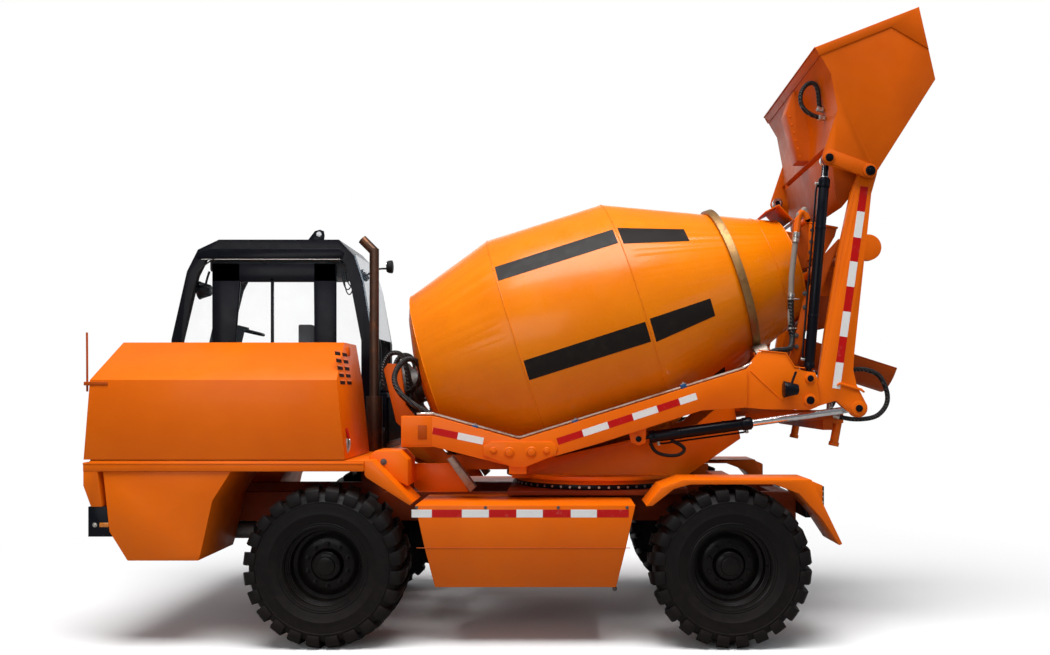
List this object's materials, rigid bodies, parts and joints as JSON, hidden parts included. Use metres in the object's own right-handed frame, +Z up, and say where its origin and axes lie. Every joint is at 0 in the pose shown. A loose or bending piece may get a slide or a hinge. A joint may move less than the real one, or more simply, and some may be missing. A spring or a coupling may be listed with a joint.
{
  "type": "self-loading concrete mixer",
  "caption": "Four-wheel concrete mixer with cab and hood, a slewing tilted drum, a loading bucket on raised arms and a discharge chute.",
  "frame": {"origin": "on the ground under the middle of the machine", "axes": "+X from the nose to the bucket end, +Y to the machine's right, +Z up"},
  "size_m": [5.72, 2.3004, 4.3418],
  "materials": {
    "orange_paint": "satin orange enamel",
    "orange_dark": "darker orange enamel",
    "frame_red": "dark red-brown enamel",
    "tyre": "black rubber with sidewall sheen",
    "rim_paint": "orange enamel",
    "black_steel": "satin black enamel",
    "chrome_rod": "hard chrome",
    "grey_steel": "cast grey steel",
    "cab_black": "black powder coat",
    "clear_glass": "clear tinted glass",
    "seat_cloth": "black woven seat cloth",
    "exhaust_steel": "matt steel",
    "lamp_red": "red lens",
    "steel_bare": "worn bare steel",
    "hose_rubber": "black rubber hose"
  },
  "bodies": {
    "chassis": {"chassis_frame": "frame_red", "ring_bed": "frame_red", "front_deck": "orange_paint", "front_tanks": "orange_paint", "front_steps": "black_steel", "side_tanks": "orange_paint", "rear_fenders": "orange_paint", "front_mudguards": "orange_paint", "front_axle": "black_steel", "rear_axle": "black_steel", "engine_block": "grey_steel", "hood_hinges": "black_steel", "cab_shell": "cab_black", "cab_glass": "clear_glass", "driver_seat": "seat_cloth", "steering_column": "cab_black", "exhaust_stack": "exhaust_steel", "air_tank": "grey_steel", "rear_lamps": "lamp_red", "slew_ring_base": "steel_bare"},
    "hood": {"engine_hood": "orange_paint"},
    "cab_door": {"cab_door": "cab_black", "door_glass": "clear_glass"},
    "turret": {"turret_base": "orange_dark", "tail_bracket": "orange_dark", "drum_frame": "orange_dark", "loader_frame": "orange_paint", "drum_gearbox": "grey_steel", "drum_rollers": "steel_bare", "loading_hopper": "orange_dark", "drum_motor": "black_steel", "beam_pipes": "steel_bare", "motor_hoses": "hose_rubber", "heel_hoses": "hose_rubber", "water_pipe": "hose_rubber"},
    "drum": {"drum_shell": "orange_paint", "track_ring": "steel_bare"},
    "arms": {"loader_arms": "orange_paint"},
    "lift_barrels": {"lift_barrels": "black_steel"},
    "lift_rods": {"lift_rods": "chrome_rod"},
    "tilt_barrels": {"tilt_barrels": "black_steel"},
    "tilt_rods": {"tilt_rods": "chrome_rod"},
    "bucket_pins": {"bucket_pins": "steel_bare"},
    "bucket": {"bucket": "orange_paint", "bucket_hose": "hose_rubber"},
    "bucket_gate": {"bucket_gate": "orange_dark"},
    "chute": {"discharge_chute": "orange_dark"},
    "front_left_knuckle": {"front_left_knuckle": "black_steel"},
    "front_left_wheel": {"front_left_tyre": "tyre", "front_left_rim": "rim_paint"},
    "front_right_knuckle": {"front_right_knuckle": "black_steel"},
    "front_right_wheel": {"front_right_tyre": "tyre", "front_right_rim": "rim_paint"},
    "rear_left_knuckle": {"rear_left_knuckle": "black_steel"},
    "rear_left_wheel": {"rear_left_tyre": "tyre", "rear_left_rim": "rim_paint"},
    "rear_right_knuckle": {"rear_right_knuckle": "black_steel"},
    "rear_right_wheel": {"rear_right_tyre": "tyre", "rear_right_rim": "rim_paint"}
  },
  "joints": [
    {"name": "front_steer", "type": "hinge", "parent": "chassis", "child": "front_left_knuckle", "pos_m": [-1.27, -0.66, 0.5375], "axis": [0, 0, 1], "range_deg": [-22, 22]},
    {"name": "front_steer_right", "type": "hinge", "parent": "chassis", "child": "front_right_knuckle", "pos_m": [-1.27, 0.66, 0.5375], "axis": [0, 0, 1], "range_deg": [-22, 22]},
    {"name": "front_left_roll", "type": "hinge", "parent": "front_left_knuckle", "child": "front_left_wheel", "pos_m": [-1.27, -0.9475, 0.5375], "axis": [0, 1, 0], "continuous": true},
    {"name": "front_right_roll", "type": "hinge", "parent": "front_right_knuckle", "child": "front_right_wheel", "pos_m": [-1.27, 0.9475, 0.5375], "axis": [0, 1, 0], "continuous": true},
    {"name": "rear_steer", "type": "hinge", "parent": "chassis", "child": "rear_left_knuckle", "pos_m": [1.425, -0.66, 0.5375], "axis": [0, 0, 1], "range_deg": [-22, 22]},
    {"name": "rear_steer_right", "type": "hinge", "parent": "chassis", "child": "rear_right_knuckle", "pos_m": [1.425, 0.66, 0.5375], "axis": [0, 0, 1], "range_deg": [-22, 22]},
    {"name": "rear_left_roll", "type": "hinge", "parent": "rear_left_knuckle", "child": "rear_left_wheel", "pos_m": [1.425, -0.9475, 0.5375], "axis": [0, 1, 0], "continuous": true},
    {"name": "rear_right_roll", "type": "hinge", "parent": "rear_right_knuckle", "child": "rear_right_wheel", "pos_m": [1.425, 0.9475, 0.5375], "axis": [0, 1, 0], "continuous": true},
    {"name": "turret_slew", "type": "hinge", "parent": "chassis", "child": "turret", "pos_m": [0.567, 0, 1.035], "axis": [0, 0, 1], "range_deg": [-90, 90]},
    {"name": "drum_spin", "type": "hinge", "parent": "turret", "child": "drum", "pos_m": [1.207, 0, 2.383], "axis": [0.9532, 0, 0.3024], "continuous": true},
    {"name": "hood_lift", "type": "hinge", "parent": "chassis", "child": "hood", "pos_m": [-2.8264, -0.71, 1.27], "axis": [0, -1, 0], "range_deg": [0, 50]},
    {"name": "door_swing", "type": "hinge", "parent": "chassis", "child": "cab_door", "pos_m": [-2.705, 1.1264, 1.5], "axis": [0, 0, 1], "range_deg": [0, 90]},
    {"name": "arm_lift", "type": "hinge", "parent": "turret", "child": "arms", "pos_m": [2.013, 0, 1.64], "axis": [0, 1, 0], "range_deg": [0, 115]},
    {"name": "bucket_level", "type": "hinge", "parent": "arms", "child": "bucket_pins", "pos_m": [2.418, 0, 3.215], "axis": [0, 1, 0], "range_deg": [-46, 0]},
    {"name": "bucket_tilt", "type": "hinge", "parent": "bucket_pins", "child": "bucket", "pos_m": [2.418, 0, 3.215], "axis": [0, 1, 0], "range_deg": [0, 34]},
    {"name": "gate_open", "type": "hinge", "parent": "bucket", "child": "bucket_gate", "pos_m": [2.213, 0, 3.42], "axis": [0, 1, 0], "range_deg": [0, 40]},
    {"name": "tilt_barrel_swing", "type": "hinge", "parent": "turret", "child": "tilt_barrels", "pos_m": [2.013, 0.772, 1.79], "axis": [0, 1, 0], "range_deg": [0, 123]},
    {"name": "tilt_rod_slide", "type": "slide", "parent": "tilt_barrels", "child": "tilt_rods", "axis": [0.0816, 0, 0.9967], "range_m": [0, 0.155]},
    {"name": "lift_barrel_swing", "type": "hinge", "parent": "turret", "child": "lift_barrels", "pos_m": [0.833, 0.772, 1.372], "axis": [0, 1, 0], "range_deg": [0, 14]},
    {"name": "lift_rod_slide", "type": "slide", "parent": "lift_barrels", "child": "lift_rods", "axis": [0.9905, 0, 0.1379], "range_m": [-0.52, 0]},
    {"name": "chute_swing", "type": "hinge", "parent": "turret", "child": "chute", "pos_m": [2.195, 0, 1.75], "axis": [0, 0, 1], "range_deg": [-35, 35]}
  ],
  "couplings": [
    {"joint": "front_steer_right", "follows": "front_steer", "ratio": 1},
    {"joint": "rear_steer_right", "follows": "rear_steer", "ratio": 1},
    {"joint": "bucket_level", "follows": "arm_lift", "ratio": -0.4},
    {"joint": "tilt_barrel_swing", "follows": "arm_lift", "ratio": 1.0632},
    {"joint": "lift_barrel_swing", "follows": "arm_lift", "ratio": 0.1175},
    {"joint": "lift_rod_slide", "follows": "arm_lift", "m_per_rad": -0.255},
    {"joint": "tilt_rod_slide", "follows": "bucket_tilt", "m_per_rad": 0.26}
  ]
}
